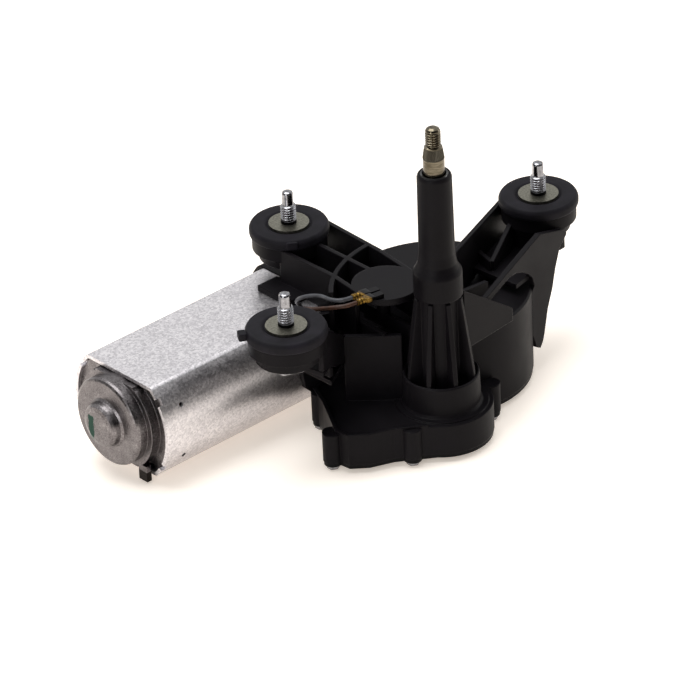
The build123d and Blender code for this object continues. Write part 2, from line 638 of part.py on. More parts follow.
def housing_hollows():
    """Everything cut from the moulding: linkage and wheel spaces, bores, seats and screw holes."""
    plan = Pos(*WHEEL) * Circle(CHAMBER_R - WALL) + Circle(LOBE_R - WALL)
    plan += offset(Polygon(*LINKAGE_OUTLINE, align=None), -WALL)
    linkage = Pos(0, 0, -1) * extrude(plan, 10.6)
    for x, y, r in COVER_BOSSES:
        linkage -= post(r, -2, 12, (x, y))
    cuts = [
        linkage,
        post(CHAMBER_R - WALL, -1, ROOF - 2.4, WHEEL) - post(8.0, 27.0, ROOF, WHEEL),
        post(AXLE_R, 5, 29.4, WHEEL),
        post(TOWER_BORE_R, 5, SEAL_SEAT),
        post(5.6, SEAL_SEAT, TUBE_TOP + 1),
        rod_x(5.9, BEARING_FRONT, 42.5),
        rod_x(4.7, 42.0, 47.5),
        rod_x(3.2, 47.0, 49.9),
        rod_x(9.0, BEARING_BACK - 2, BEARING_FRONT),
        rod_x(13.5, CAN_FRONT - 1, BEARING_BACK - 2),
    ]
    cuts += [stud_ring_bore(at) for at in STUDS]
    cuts += [post(1.25, -1, 9.5, (x, y)) for x, y, _ in COVER_BOSSES]
    for y, z in MOTOR_SCREWS:
        cuts.append(Pos(0, y, z) * Rot(0, 90, 0) * post(2.0, CAN_FRONT - 1, CAN_FRONT + 8))
    cuts.append(rear_opening())
    return cuts


def rear_opening():
    """Keeps the flange and ear clear of the can body."""
    return can_prism(CAN_R + 0.15, CAN_FLAT + 0.15, CAN_BACK, CAN_FRONT, 2.5)


def bottom_cover():
    """Pressed cover screwed under the housing."""
    flat = offset(base_outline(), -0.3)
    cover = Pos(0, 0, -1.6) * extrude(flat, 1.6)
    cover += post(9.0, -2.6, -1.6, SPINDLE)
    for x, y, _ in COVER_BOSSES:
        cover -= post(1.6, -4, 1, (x, y))
    return cover


def cover_screws():
    screws = []
    for x, y, _ in COVER_BOSSES:
        screws.append(turned([(0, -3.5), (2.4, -3.5), (3.0, -2.9), (3.0, -1.65), (1.25, -1.65), (1.25, 8.0),
                              (0, 8.0)], (x, y)))
    return group(screws)


# ---------------------------------------------------------------- spindle and its fittings
TAPER_LOW, TAPER_HIGH, THREAD_LOW, TIP = 115.0, 119.2, 120.4, 127.5


def spindle():
    """Swinging output shaft: bottom journal, knurled taper seat and threaded end."""
    return turned([(0, 0.5), (3.2, 0.5), (3.5, 0.8), (3.5, GEAR_TOP), (SHAFT_R, GEAR_TOP),
                   (SHAFT_R, TAPER_LOW - 0.4), (SHAFT_R + 0.05, TAPER_LOW), (3.4, TAPER_HIGH),
                   (3.35, TAPER_HIGH + 0.3), (2.5, THREAD_LOW - 0.5), (2.9, THREAD_LOW), (2.9, TIP - 1.9), (2.6, TIP - 1.1),
                   (1.8, TIP - 0.2), (0.8, TIP), (0, TIP)])


def lower_bush():
    return ring(TOWER_BORE_R, SHAFT_R + 0.03, 9.62, 30.0)


def upper_bush():
    return ring(TOWER_BORE_R, SHAFT_R + 0.03, SEAL_SEAT - 20.2, SEAL_SEAT - 0.2)


def spindle_seal():
    """Rubber lip ring in the mouth of the tube."""
    seat = SEAL_SEAT + 0.1
    return turned([(SHAFT_R + 0.08, seat), (5.55, seat), (5.55, seat + 1.9), (5.1, seat + 2.4),
                   (4.5, seat + 2.2), (SHAFT_R + 0.08, seat + 1.3)])


def thrust_washer():
    return ring(6.4, SHAFT_R + 0.06, GEAR_TOP + 0.08, 9.56)


# ---------------------------------------------------------------- rubber mounts
def isolator(at, nib_angle):
    """Rubber grommet: broad top flange, waist in the ring and lower flange."""
    body = turned([(4.5, 43.4), (9.9, 43.4), (10.6, 44.0), (10.6, 46.8), (8.3, 47.2), (8.3, TRAY_TOP + 0.1),
                   (ISOLATOR_R, TRAY_TOP + 0.1), (ISOLATOR_R, 57.7), (ISOLATOR_R - 1.0, 58.7),
                   (8.2, 58.9), (8.2, 57.8), (4.5, 57.8)], at)
    nib = Pos(*at, 0) * Rot(0, 0, nib_angle) * Pos(ISOLATOR_R + 0.8, 0, 57.0) * Box(4.6, 4.2, 3.0)
    return body + nib


def stud_sleeves():
    """Steel spacer tubes through the isolators."""
    return group(ring(4.45, 3.05, 43.4, 57.75, at) for at in STUDS)


def stud_washers():
    return group(ring(7.75, 3.05, 57.85, PANEL_Z, at) for at in STUDS)


def mount_studs():
    """M6 studs with a thin hexagonal head and a dog point."""
    outline = [(0, 42.0), (2.6, 42.0), (2.6, PANEL_Z + 0.3), (3.0, PANEL_Z + 0.3), (3.0, 66.2), (2.2, 66.9),
               (2.2, 71.4), (1.6, 72.2), (0, 72.2)]
    studs = []
    for x, y in STUDS:
        head = Pos(x, y, 41.6) * extrude(RegularPolygon(8.0, 6, rotation=4), 1.7)
        studs.append(head + turned(outline, (x, y)))
    return group(studs)


# ---------------------------------------------------------------- electrical fittings
GREY_ROUTE = [(-20.6, 52.2, 37.4), (-22.6, 52.0, 42.0), (-27.0, 49.2, 46.2), (-28.6, 44.8, 50.4),
              (-27.4, 39.4, 53.0), (-26.8, 34.4, 54.4), (-27.6, 30.4, 55.1), (-27.0, 27.0, 55.5),
              (-24.8, 24.6, 55.7), (-21.4, 23.9, 55.7)]
BROWN_ROUTE = [(-20.8, 49.0, 37.2), (-23.2, 47.2, 42.0), (-28.6, 43.4, 46.4), (-32.0, 37.8, 49.8),
               (-32.8, 31.4, 52.6), (-31.2, 26.2, 54.4), (-29.0, 22.4, 55.5), (-26.1, 20.4, 55.7),
               (-22.8, 19.9, 55.7)]
LEAD_R = 0.8


def cord_path(points):
    """Straight runs joined by tangent arcs, each as large as its two runs allow."""
    radii = []
    for before, here, after in zip(points, points[1:], points[2:]):
        into = Vector(*here) - Vector(*before)
        out = Vector(*after) - Vector(*here)
        turn = radians(into.get_angle(out))
        radii.append(0.45 * min(into.length, out.length) / tan(turn / 2))
    print("lead radii", [round(r, 1) for r in radii])
    return FilletPolyline(*points, radius=radii)


def lead(points):
    path = cord_path(points)
    start = Plane(origin=path @ 0, z_dir=path % 0)
    tube = sweep(start * Circle(LEAD_R), path)
    print("lead length", round(path.length, 1), "volume error",
          round(tube.volume / (pi * LEAD_R**2 * path.length) - 1, 4))
    return tube


def lead_end(route):
    """Level frame at the lead's end: local X runs on from the lead, local Z is up."""
    run = Vector(*route[-1]) - Vector(*route[-2])
    return Plane(origin=route[-1], x_dir=(run.X, run.Y, 0), z_dir=(0, 0, 1))


def receptacle():
    """Crimp sleeve round the lead's end with its flat push-on box, along local X."""
    crimp = Rot(0, 90, 0) * post(1.25, 0, 3.4)
    box = Pos(5.3, 0, 0) * Box(3.8, 3.8, 1.8)
    return crimp + box - Pos(6.2, 0, 0) * Box(3.4, 3.0, 1.0)


def lead_terminals():
    """Brass push-on receptacles on the two lead ends."""
    return group(lead_end(route) * receptacle() for route in (GREY_ROUTE, BROWN_ROUTE))


def tab_terminals():
    """Brass tabs that stand in the pad and take the receptacles."""
    blade = Pos(8.0, 0, 0) * Box(6.6, 2.8, 0.8) + Pos(10.5, 0, -0.9) * Box(1.6, 2.8, 1.8)
    pad_top = post(PAD_R, TRAY_TOP - 3, TRAY_TOP, PAD)
    return group(lead_end(route) * blade - pad_top for route in (GREY_ROUTE, BROWN_ROUTE))


NODES = {
    "gear_housing": gear_housing,
    "bottom_cover": bottom_cover,
    "cover_screws": cover_screws,
    "lower_bush": lower_bush,
    "upper_bush": upper_bush,
    "spindle_seal": spindle_seal,
    "thrust_washer": thrust_washer,
    "spindle": spindle,
    "pinion": pinion,
    "sector_rod": sector_rod,
    "link_pin": link_pin,
    "link_plate": link_plate,
    "worm_wheel": worm_wheel,
    "crank_pin": crank_pin,
    "wheel_axle": wheel_axle,
    "axle_ring": axle_ring,
    "armature_shaft": armature_shaft,
    "armature_core": armature_core,
    "windings": windings,
    "commutator": commutator,
    "front_bearing": front_bearing,
    "rear_bush": rear_bush,
    "rear_thrust": rear_thrust,
    "nose_bush": nose_bush,
    "nose_thrust": nose_thrust,
    "motor_can": motor_can,
    "end_plate": end_plate,
    "magnets": magnets,
    "brush_holder": brush_holder,
    "brushes": brushes,
    "brush_springs": brush_springs,
    "motor_screws": motor_screws,
    "stud_sleeves": stud_sleeves,
    "stud_washers": stud_washers,
    "mount_studs": mount_studs,
    "grey_lead": lambda: lead(GREY_ROUTE),
    "brown_lead": lambda: lead(BROWN_ROUTE),
    "lead_terminals": lead_terminals,
    "tab_terminals": tab_terminals,
}
for number, (at, nib) in enumerate(zip(STUDS, (-125.0, 150.0, 60.0)), start=1):
    NODES[f"isolator_{number}"] = lambda at=at, nib=nib: isolator(at, nib)

if __name__ == "__main__":
    os.makedirs("parts", exist_ok=True)
    for name, make in NODES.items():
        export_step(Pos(0, 0, -PANEL_Z) * make(), f"parts/{name}.step")
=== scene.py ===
from math import cos, pi, radians, sin

import bpy
import numpy as np
from mathutils import Matrix, Vector


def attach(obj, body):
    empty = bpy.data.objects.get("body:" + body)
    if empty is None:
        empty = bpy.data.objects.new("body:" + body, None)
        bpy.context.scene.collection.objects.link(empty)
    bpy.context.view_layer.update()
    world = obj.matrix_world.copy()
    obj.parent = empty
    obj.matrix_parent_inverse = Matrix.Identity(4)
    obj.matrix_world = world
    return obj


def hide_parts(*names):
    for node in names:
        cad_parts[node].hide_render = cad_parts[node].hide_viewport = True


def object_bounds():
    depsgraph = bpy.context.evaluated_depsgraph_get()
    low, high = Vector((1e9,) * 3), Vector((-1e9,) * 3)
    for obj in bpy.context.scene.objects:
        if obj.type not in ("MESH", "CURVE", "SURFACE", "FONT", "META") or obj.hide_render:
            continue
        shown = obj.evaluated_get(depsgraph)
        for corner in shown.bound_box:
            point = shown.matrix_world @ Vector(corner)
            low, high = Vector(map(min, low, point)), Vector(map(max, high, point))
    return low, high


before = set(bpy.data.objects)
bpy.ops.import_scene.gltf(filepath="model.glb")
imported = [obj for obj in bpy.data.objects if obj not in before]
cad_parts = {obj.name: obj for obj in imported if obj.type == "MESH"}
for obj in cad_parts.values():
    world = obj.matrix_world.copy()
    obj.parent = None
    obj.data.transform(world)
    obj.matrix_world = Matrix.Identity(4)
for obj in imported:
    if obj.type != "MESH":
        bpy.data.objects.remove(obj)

# Rear wiper motor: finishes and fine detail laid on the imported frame. Blender works in metres with the
# origin on the spindle axis in the plane of the stud washers, +Z along the spindle and +X along the motor
# shaft. Heights below are bench heights in millimetres, measured up from the bottom cover's joint face.

cad_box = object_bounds()
MM = 0.001
PANEL_Z = 59.0                                   # bench height of the frame's origin
STUDS = [(-2.4, 79.2), (-55.0, 23.0), (78.0, 26.2)]
NIBS = [(-128, 1.125), (150, 3.125), (48, 1.125)]    # angle about the stud, length outwards
COVER_BOSSES = [(-43.8, 13.4), (-21.5, -6.2), (21.2, -4.2), (-27.5, 37.6), (68.6, 40.0), (51.6, 65.6),
                (8.6, 66.0)]
MOTOR_Y, MOTOR_Z = 70.0, 19.2                    # motor shaft
CAN_BACK = -97.2                                 # rear rim of the motor case
DOME_BACK = 10.0                                 # behind that rim only the end plate's dome is left
FOOT_DROP = 17.7                                 # the end plate's foot starts this far below the shaft
TRAY_TOP = 54.3                                  # top edge of the ribbed arms
TAPER_LOW, TAPER_TOP = 115.0, 119.2              # serrated taper of the spindle
THREAD_LOW, THREAD_TOP = 120.2, 126.0            # thread above it
LEAD_R = 0.8                                     # outside radius of a lead


# ---------------------------------------------------------------- surfaces
def rounded(outline, radius, steps=4):
    """Closed outline with softened corners: each corner B is replaced by the parabola
    (1-t)^2 A + 2t(1-t) B + t^2 C, where A and C lie on its two sides, no further away than the radius or
    45 per cent of the side."""
    corner = np.array(outline, float)
    ends = []
    for side in (np.roll(corner, 1, axis=0), np.roll(corner, -1, axis=0)):
        length = np.linalg.norm(side - corner, axis=1)
        reach = np.minimum(radius, 0.45 * length)
        ends.append(corner + (side - corner) * (reach / length)[:, None])
    t = np.linspace(0, 1, steps + 1)[:, None]
    arcs = (1 - t) ** 2 * ends[0][:, None] + 2 * t * (1 - t) * corner[:, None] + t ** 2 * ends[1][:, None]
    return arcs.reshape(-1, 2)


def stations(outline, spacing):
    """Radius and height at every corner of an outline and at even steps along it, by its running length."""
    outline = np.asarray(outline, float)
    run = np.concatenate([[0], np.cumsum(np.linalg.norm(np.diff(outline, axis=0), axis=1))])
    place = np.unique(np.round(np.concatenate([run, np.arange(0, run[-1], spacing)]), 6))
    return np.interp(place, run, outline[:, 0]), np.interp(place, run, outline[:, 1])


def cone_volumes(vertices, faces):
    """Six times the signed volume between the origin and each face, a fan of triangles about its first
    corner: the sum of a . (b x c)."""
    corner = vertices[faces]
    fans = np.cross(corner[:, 1:-1], corner[:, 2:])
    return (corner[:, :1] * fans).sum()


def shell(points, wrap_rows=False):
    """Closed surface over a grid of points (rows, columns, 3) that closes round its columns.

    Rows either wrap too, or the first and last row each shrink to one pole at their mean point. Returns
    vertices, quads and triangles, turned outwards by the sign of the enclosed volume.
    """
    rows, columns = points.shape[:2]
    index = np.arange(rows * columns).reshape(rows, columns)
    here = index if wrap_rows else index[:-1]
    above = np.roll(index, -1, axis=0) if wrap_rows else index[1:]
    quads = np.stack([here, np.roll(here, -1, axis=1), np.roll(above, -1, axis=1), above], axis=-1)
    quads = quads.reshape(-1, 4)
    vertices = points.reshape(-1, 3)
    triangles = np.zeros((0, 3), int)
    if not wrap_rows:
        low, high = np.full(columns, rows * columns), np.full(columns, rows * columns + 1)
        vertices = np.vstack([vertices, points[0].mean(axis=0), points[-1].mean(axis=0)])
        triangles = np.vstack([np.stack([low, np.roll(index[0], -1), index[0]], axis=-1),
                               np.stack([high, index[-1], np.roll(index[-1], -1)], axis=-1)])
    volume = cone_volumes(vertices, quads) + cone_volumes(vertices, triangles)
    step = 1 if volume > 0 else -1
    return vertices, quads[:, ::step], triangles[:, ::step]


def piece(name, shells, finish, node=None, body="housing", sharp=35):
    """One object at the origin from one or more closed shells in bench millimetres."""
    vertices, faces, offset = [], [], 0
    for points, quads, triangles in shells:
        vertices.append(points)
        faces += (quads + offset).tolist() + (triangles + offset).tolist()
        offset += len(points)
    place = (np.vstack(vertices) - (0, 0, PANEL_Z)) * MM
    mesh = bpy.data.meshes.new(name)
    mesh.from_pydata(place.tolist(), [], faces)
    mesh.polygons.foreach_set("use_smooth", np.ones(len(mesh.polygons), bool))
    mesh.set_sharp_from_angle(angle=radians(sharp))
    mesh.materials.append(finish)
    made = bpy.data.objects.new(name, mesh)
    bpy.context.scene.collection.objects.link(made)
    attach(made, body)
    if node:
        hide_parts(node)


def lathe(radius, height, at=(0, 0), wrap_rows=False):
    """Shell of points at (radius, height) about an upright axis; both arrays are (rows, columns)."""
    angle = np.linspace(0, 2 * pi, radius.shape[1], endpoint=False)
    points = np.stack([at[0] + radius * np.cos(angle), at[1] + radius * np.sin(angle), height], axis=-1)
    return shell(points, wrap_rows)


def turned(outline, spacing, columns):
    """An outline's radius and height as (rows, columns) grids, and the angle of each column."""
    angle = np.linspace(0, 2 * pi, columns, endpoint=False)[None, :]
    radius, height = stations(outline, spacing)
    return radius[:, None] + 0 * angle, height[:, None] + 0 * angle, angle


def thread_depth(angle, height, low, high, pitch=1.0):
    """Depth below the crest of a right-handed 60 degree thread: a trapezium wave of the turns counted by
    height / pitch - angle / 2 pi, that fades out over half a pitch at both ends. Its crest, flanks and depth
    are shares of the pitch."""
    crest, flanks, depth, run_out = 0.15, 0.7, 0.6, 0.5 * pitch
    turn = (height / pitch - angle / (2 * pi)) % 1.0
    wave = np.clip((np.abs(2 * turn - 1) - crest) / flanks, 0, 1)
    fade = np.clip((height - low) / run_out, 0, 1) * np.clip((high - height) / run_out, 0, 1)
    return depth * pitch * wave * fade


def hexagon(angle, apothem, corner):
    """Radius of a hexagon at an angle, its corners turned down to a circle."""
    flat = (angle + pi / 6) % (pi / 3) - pi / 6
    return np.minimum(apothem / np.cos(flat), corner)


def squared(wave, power):
    """A sine or cosine raised to a power with its sign kept, which squares up a circle or a sphere."""
    return np.sign(wave) * np.abs(wave) ** power


# ---------------------------------------------------------------- materials
MIX_A, MIX_B, MIXED = 6, 7, 2                    # colour sockets of a Mix node


def srgb(code):
    """Linear RGBA from an sRGB hex value, by the standard display curve."""
    parts = [int(code[i:i + 2], 16) / 255 for i in (0, 2, 4)]
    return [p / 12.92 if p <= 0.04045 else ((p + 0.055) / 1.055) ** 2.4 for p in parts] + [1.0]


def add(tree, kind, settings=None, inputs=None, stops=None):
    """Adds one node: settings are its properties, inputs its sockets' values or the sockets they come
    from, and stops the (share, sRGB colour) pairs of a colour ramp."""
    node = tree.nodes.new("ShaderNode" + kind)
    for name, value in (settings or {}).items():
        setattr(node, name, value)
    for name, value in (inputs or {}).items():
        if isinstance(value, bpy.types.NodeSocket):
            tree.links.new(value, node.inputs[name])
        else:
            node.inputs[name].default_value = value
    if stops:
        band = node.color_ramp
        while len(band.elements) < len(stops):
            band.elements.new(0.5)
        for element, (share, colour) in zip(band.elements, stops):
            element.position = share
            element.color = srgb(colour)
    return node


def new_material(name, **principled):
    """Material with a Principled shader whose uniform values are set on its own sockets."""
    material = bpy.data.materials.new(name)
    material.use_nodes = True
    tree = material.node_tree
    shader = tree.nodes["Principled BSDF"]
    for key, value in principled.items():
        shader.inputs[key.replace("_", " ")].default_value = value
    return material, tree, shader


def finish_with(tree, shader, **sockets):
    """Links sockets to the shader's inputs of the same names, an underscore standing for a space."""
    for key, socket in sockets.items():
        tree.links.new(socket, shader.inputs[key.replace("_", " ")])


def scaled(tree, size_mm, stretch=(1, 1, 1)):
    """Object coordinates in units of a real size in millimetres, longer along an axis where stretched."""
    coords = add(tree, "TexCoord")
    step = [1 / (size_mm * MM * long) for long in stretch]
    return add(tree, "Mapping", inputs={"Vector": coords.outputs["Object"], "Scale": step}).outputs[0]


def grains(tree, size_mm, detail=4.0, stretch=(1, 1, 1)):
    """Cloudy pattern with grains of a real size."""
    inputs = {"Vector": scaled(tree, size_mm, stretch), "Scale": 1.0, "Detail": detail}
    return add(tree, "TexNoise", inputs=inputs).outputs["Fac"]


def position(tree):
    """Node with the object's own X, Y and Z in metres."""
    return add(tree, "SeparateXYZ", inputs={"Vector": add(tree, "TexCoord").outputs["Object"]})


def between(tree, value, low, high, soft):
    """Mask that is one from low to high and falls to nought over a soft edge outside them, in metres."""
    rise = add(tree, "MapRange", inputs={"Value": value, "From Min": low - soft, "From Max": low})
    fall = add(tree, "MapRange", inputs={"Value": value, "From Min": high + soft, "From Max": high})
    return add(tree, "Math", {"operation": "MULTIPLY"}, {0: rise.outputs[0], 1: fall.outputs[0]}).outputs[0]


def moulded_nylon():
    """Glass-filled nylon 66, injection moulded: near black and satin, a little paler where the glass
    fibres lie at the skin, with moulded edges that round off, polish up and catch a soft line of light.
    The fibres are far finer than the grain, which is drawn 0.7 mm wide so that it shows."""
    material, tree, shader = new_material("glass_filled_nylon_moulded", IOR=1.50, Specular_IOR_Level=0.08)
    grain, cloud = grains(tree, 0.7, 5.0), grains(tree, 18, 3.0)
    tone = add(tree, "ValToRGB", inputs={"Fac": cloud}, stops=[(0.35, "0c0a0d"), (0.70, "131114")])
    satin = add(tree, "MapRange", inputs={"Value": cloud, "From Min": 0.3, "From Max": 0.7,
                                          "To Min": 0.42, "To Max": 0.56})
    edge = add(tree, "Bevel", {"samples": 6}, {"Radius": 0.6 * MM})
    flatness = add(tree, "VectorMath", {"operation": "DOT_PRODUCT"},
                   {0: edge.outputs[0], 1: add(tree, "NewGeometry").outputs["Normal"]})
    rough = add(tree, "MapRange", inputs={"Value": flatness.outputs["Value"], "From Min": 0.90,
                                          "From Max": 0.99, "To Min": 0.20, "To Max": satin.outputs[0]})
    bump = add(tree, "Bump", inputs={"Height": grain, "Strength": 0.12, "Distance": 0.05 * MM,
                                     "Normal": edge.outputs[0]})
    finish_with(tree, shader, Base_Color=tone.outputs[0], Roughness=rough.outputs[0],
                Normal=bump.outputs[0])
    return material


def moulded_rubber():
    """Compression-moulded rubber: dull black with a bluish bloom of wax and a fine matt tooth, which is
    drawn 0.5 mm wide so that it shows."""
    material, tree, shader = new_material("epdm_rubber_moulded", IOR=1.52, Roughness=0.62,
                                          Specular_IOR_Level=0.10)
    tooth, bloom = grains(tree, 0.5), grains(tree, 6)
    tone = add(tree, "ValToRGB", inputs={"Fac": bloom}, stops=[(0.35, "131216"), (0.68, "1b191f")])
    bump = add(tree, "Bump", inputs={"Height": tooth, "Strength": 0.22, "Distance": 0.05 * MM})
    finish_with(tree, shader, Base_Color=tone.outputs[0], Normal=bump.outputs[0])
    return material


def nitrile_rubber():
    """Nitrile lip ring: black and glossy, wet with a trace of grease."""
    material, tree, shader = new_material("nitrile_rubber_greased", IOR=1.52)
    smear = grains(tree, 1.5)
    tone = add(tree, "ValToRGB", inputs={"Fac": smear}, stops=[(0.4, "080808"), (0.7, "121110")])
    rough = add(tree, "MapRange", inputs={"Value": smear, "To Min": 0.10, "To Max": 0.32})
    finish_with(tree, shader, Base_Color=tone.outputs[0], Roughness=rough.outputs[0])
    return material


def galvanised_sheet():
    """Hot-dip galvanised steel with a minimised spangle: zinc crystals under a millimetre across, each
    with its own brightness and tilt, so that the sheet glitters softly."""
    material, tree, shader = new_material("galvanised_steel_spangled", Metallic=1.0)
    crystal = add(tree, "TexVoronoi", {"feature": "F1"}, {"Vector": scaled(tree, 0.7), "Scale": 1.0})
    facet = add(tree, "SeparateColor", inputs={"Color": crystal.outputs["Color"]})
    fine, drift = grains(tree, 0.35, 3.0), grains(tree, 14, 2.0)
    blend = add(tree, "Math", {"operation": "MULTIPLY"}, {0: facet.outputs["Red"], 1: 0.35})
    blend = add(tree, "Math", {"operation": "MULTIPLY_ADD"}, {0: fine, 1: 0.50, 2: blend.outputs[0]})
    blend = add(tree, "Math", {"operation": "MULTIPLY_ADD"}, {0: drift, 1: 0.15, 2: blend.outputs[0]})
    tone = add(tree, "ValToRGB", inputs={"Fac": blend.outputs[0]},
               stops=[(0.28, "b8b5b8"), (0.50, "d2cfd2"), (0.75, "ebe8e9")])
    rough = add(tree, "MapRange", inputs={"Value": blend.outputs[0], "From Min": 0.25, "From Max": 0.75,
                                          "To Min": 0.30, "To Max": 0.42})
    tilt = add(tree, "Bump", inputs={"Height": facet.outputs["Green"], "Strength": 0.07,
                                     "Distance": 0.04 * MM})
    bump = add(tree, "Bump", inputs={"Height": fine, "Strength": 0.10, "Distance": 0.04 * MM,
                                     "Normal": tilt.outputs[0]})
    finish_with(tree, shader, Base_Color=tone.outputs[0], Roughness=rough.outputs[0],
                Normal=bump.outputs[0])
    return material


def drawn_end_plate():
    """Deep-drawn steel end plate: zinc thinned and scuffed by the press, so darker than the rolled case,
    with brushed bright edges, an inspector's dab of green paint on the dome and its foot painted near black
    as shade."""
    material, tree, shader = new_material("drawn_steel_end_plate", Metallic=1.0)
    fine, scuff = grains(tree, 0.6, 5.0), grains(tree, 5, 5.0)
    blend = add(tree, "Math", {"operation": "MULTIPLY"}, {0: scuff, 1: 0.4})
    blend = add(tree, "Math", {"operation": "MULTIPLY_ADD"}, {0: fine, 1: 0.6, 2: blend.outputs[0]})
    tone = add(tree, "ValToRGB", inputs={"Fac": blend.outputs[0]},
               stops=[(0.36, "545051"), (0.55, "767273"), (0.72, "a09c9c")])
    place = position(tree)
    shaft_z = (MOTOR_Z - PANEL_Z) * MM
    # the dab: a brush stroke with a wavering side, on the dome only
    wobble = add(tree, "Math", {"operation": "SUBTRACT"}, {0: grains(tree, 2.2, 3.0), 1: 0.5})
    ragged = add(tree, "Math", {"operation": "MULTIPLY_ADD"},
                 {0: wobble.outputs[0], 1: 2.4 * MM, 2: place.outputs["Y"]})
    across = between(tree, ragged.outputs[0], (MOTOR_Y + 2.2) * MM, (MOTOR_Y + 4.9) * MM, 0.2 * MM)
    upright = between(tree, place.outputs["Z"], shaft_z - 6.6 * MM, shaft_z + 3.4 * MM, 0.5 * MM)
    on_dome = between(tree, place.outputs["X"], -130 * MM, (CAN_BACK - DOME_BACK) * MM, 0.2 * MM)
    dab = add(tree, "Math", {"operation": "MULTIPLY"}, {0: across, 1: upright})
    dab = add(tree, "Math", {"operation": "MULTIPLY"}, {0: dab.outputs[0], 1: on_dome})
    painted = add(tree, "Mix", {"data_type": "RGBA"},
                  {"Factor": dab.outputs[0], MIX_A: tone.outputs[0], MIX_B: srgb("13352b")})
    # painted shade: below the foot line the end plate is coloured near black, as the shadow under the case
    shaded_foot = between(tree, place.outputs["Z"], -200 * MM, shaft_z - FOOT_DROP * MM, 0.1 * MM)
    colour = add(tree, "Mix", {"data_type": "RGBA"},
                 {"Factor": shaded_foot, MIX_A: painted.outputs[MIXED], MIX_B: srgb("1c1816")})
    rough = add(tree, "MapRange", inputs={"Value": blend.outputs[0], "From Min": 0.3, "From Max": 0.7,
                                          "To Min": 0.24, "To Max": 0.40})
    edge = add(tree, "Bevel", {"samples": 6}, {"Radius": 0.4 * MM})
    bump = add(tree, "Bump", inputs={"Height": blend.outputs[0], "Strength": 0.22, "Distance": 0.05 * MM,
                                     "Normal": edge.outputs[0]})
    finish_with(tree, shader, Base_Color=colour.outputs[MIXED], Roughness=rough.outputs[0],
                Normal=bump.outputs[0])
    return material


def plated_studs():
    """Bright zinc on a rolled thread, its foot painted near black as the shade where it stands in the
    washer.
    """
    material, tree, shader = new_material("bright_zinc_studs", Metallic=1.0)
    tone = add(tree, "ValToRGB", inputs={"Fac": grains(tree, 1.2, 5.0)},
               stops=[(0.35, "77777a"), (0.65, "9c9ca0")])
    # painted shade: the lowest millimetre of the stud is coloured near black, as the shadow at the washer
    shaded_foot = between(tree, position(tree).outputs["Z"], 0, 1.1 * MM, 0.5 * MM)
    colour = add(tree, "Mix", {"data_type": "RGBA"},
                 {"Factor": shaded_foot, MIX_A: tone.outputs[0], MIX_B: srgb("0d0c0c")})
    rough = add(tree, "MapRange", inputs={"Value": shaded_foot, "To Min": 0.15, "To Max": 0.60})
    finish_with(tree, shader, Base_Color=colour.outputs[MIXED], Roughness=rough.outputs[0])
    return material


def crimped_brass():
    """Stamped brass strip: dull gold where the crimp barrels are rolled over the wire, coloured nearly
    black on the flat receptacles, which push on to the tabs."""
    material, tree, shader = new_material("half_hard_brass_strip", Metallic=1.0, Roughness=0.42)
    grain = grains(tree, 0.8, 5.0)
    tone = add(tree, "ValToRGB", inputs={"Fac": grain}, stops=[(0.35, "4a3815"), (0.65, "8a6c34")])
    flat = between(tree, position(tree).outputs["X"], -17.2 * MM, 0, 0.5 * MM)
    colour = add(tree, "Mix", {"data_type": "RGBA"},
                 {"Factor": flat, MIX_A: tone.outputs[0], MIX_B: srgb("1a191b")})
    bump = add(tree, "Bump", inputs={"Height": grain, "Strength": 0.25, "Distance": 0.05 * MM})
    finish_with(tree, shader, Base_Color=colour.outputs[MIXED], Normal=bump.outputs[0])
    return material


def plated_spindle():
    """Ground shaft with nickel plate: bronze-grey with faint rings from grinding, drawn 0.35 mm apart so
    that they show, and a serrated taper left darker by the phosphate under the plate."""
    material, tree, shader = new_material("nickel_plated_spindle", Metallic=1.0)
    rings = grains(tree, 0.35, 2.0, (8, 8, 1))
    tone = add(tree, "ValToRGB", inputs={"Fac": rings}, stops=[(0.35, "4f493c"), (0.65, "756e5f")])
    taper = between(tree, position(tree).outputs["Z"], (TAPER_LOW - PANEL_Z) * MM,
                    (TAPER_TOP - PANEL_Z) * MM, 0.15 * MM)
    colour = add(tree, "Mix", {"data_type": "RGBA"},
                 {"Factor": taper, MIX_A: tone.outputs[0], MIX_B: srgb("4b4840")})
    rough = add(tree, "MapRange", inputs={"Value": taper, "To Min": 0.20, "To Max": 0.40})
    bump = add(tree, "Bump", inputs={"Height": rings, "Strength": 0.12, "Distance": 0.03 * MM})
    finish_with(tree, shader, Base_Color=colour.outputs[MIXED], Roughness=rough.outputs[0],
                Normal=bump.outputs[0])
    return material


def metal(name, dark, light, roughness, grain_mm, strength=0.12):
    """Metal with a mottled tone between two colours and a fine grain of the given size."""
    material, tree, shader = new_material(name, Metallic=1.0, Roughness=roughness)
    grain = grains(tree, grain_mm, 5.0)
    tone = add(tree, "ValToRGB", inputs={"Fac": grain}, stops=[(0.35, dark), (0.65, light)])
    bump = add(tree, "Bump", inputs={"Height": grain, "Strength": strength, "Distance": 0.05 * MM})
    finish_with(tree, shader, Base_Color=tone.outputs[0], Normal=bump.outputs[0])
    return material


def plastic(name, dark, light, roughness, grain_mm, edge_mm=0.0, gloss=0.5):
    """Moulded plastic, paint or insulation with a slight mottle, its sharp edges softened where asked."""
    material, tree, shader = new_material(name, Roughness=roughness, IOR=1.5, Specular_IOR_Level=gloss)
    grain = grains(tree, grain_mm)
    tone = add(tree, "ValToRGB", inputs={"Fac": grain}, stops=[(0.35, dark), (0.65, light)])
    bump = add(tree, "Bump", inputs={"Height": grain, "Strength": 0.08, "Distance": 0.04 * MM})
    if edge_mm:
        edge = add(tree, "Bevel", {"samples": 4}, {"Radius": edge_mm * MM})
        tree.links.new(edge.outputs[0], bump.inputs["Normal"])
    finish_with(tree, shader, Base_Color=tone.outputs[0], Normal=bump.outputs[0])
    return material


